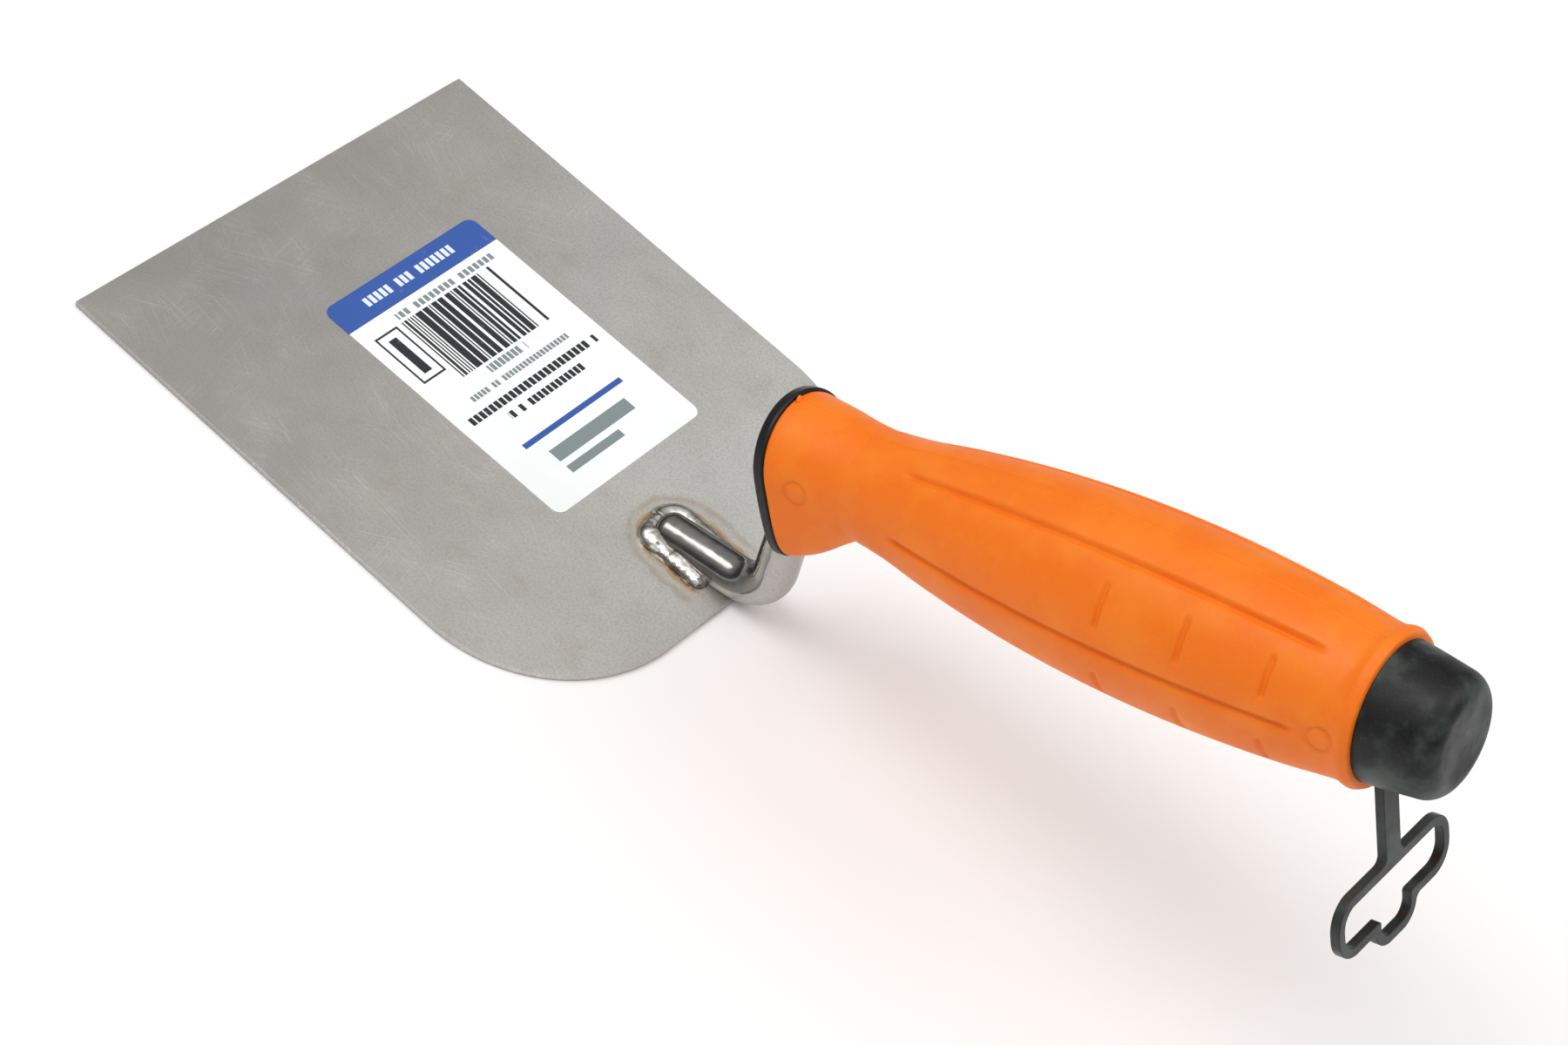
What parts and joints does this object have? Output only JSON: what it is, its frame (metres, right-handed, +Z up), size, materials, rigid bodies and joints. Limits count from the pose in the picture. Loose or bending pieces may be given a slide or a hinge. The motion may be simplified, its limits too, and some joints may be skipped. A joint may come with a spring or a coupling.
{
  "type": "margin trowel",
  "caption": "Margin trowel: flat rectangular steel blade on a welded gooseneck tang, two-part moulded handle with finger guard, and a swinging hang-up loop at the butt.",
  "frame": {"origin": "centre of the blade's flat working face, its underside", "axes": "+X from the blade towards the butt of the handle, +Y across the blade, +Z up from the blade, to the handle's side"},
  "size_m": [0.2492, 0.1, 0.0995],
  "materials": {
    "blade_steel": "satin rolled stainless sheet with fine scratches",
    "label_film": "white printed self-adhesive film with a blue band",
    "bar_steel": "polished stainless bar, slightly rippled",
    "weld_metal": "bright rippled weld bead with brown heat tint at its toes",
    "core_plastic": "moulded black plastic, satin",
    "grip_rubber": "orange soft-touch rubber, fine matt texture",
    "cap_plastic": "charcoal moulded plastic, matt",
    "hanger_plastic": "dark grey moulded plastic, satin"
  },
  "bodies": {
    "trowel": {"blade": "blade_steel", "label": "label_film", "tang": "bar_steel", "weld_left": "weld_metal", "weld_right": "weld_metal", "handle_core": "core_plastic", "grip": "grip_rubber", "end_cap": "cap_plastic"},
    "hanger": {"hanger": "hanger_plastic"}
  },
  "joints": [
    {"name": "hanger_swing", "type": "hinge", "parent": "trowel", "child": "hanger", "pos_m": [0.17092, 0, 0.07803], "axis": [0, -1, 0], "range_deg": [0, 55]}
  ]
}
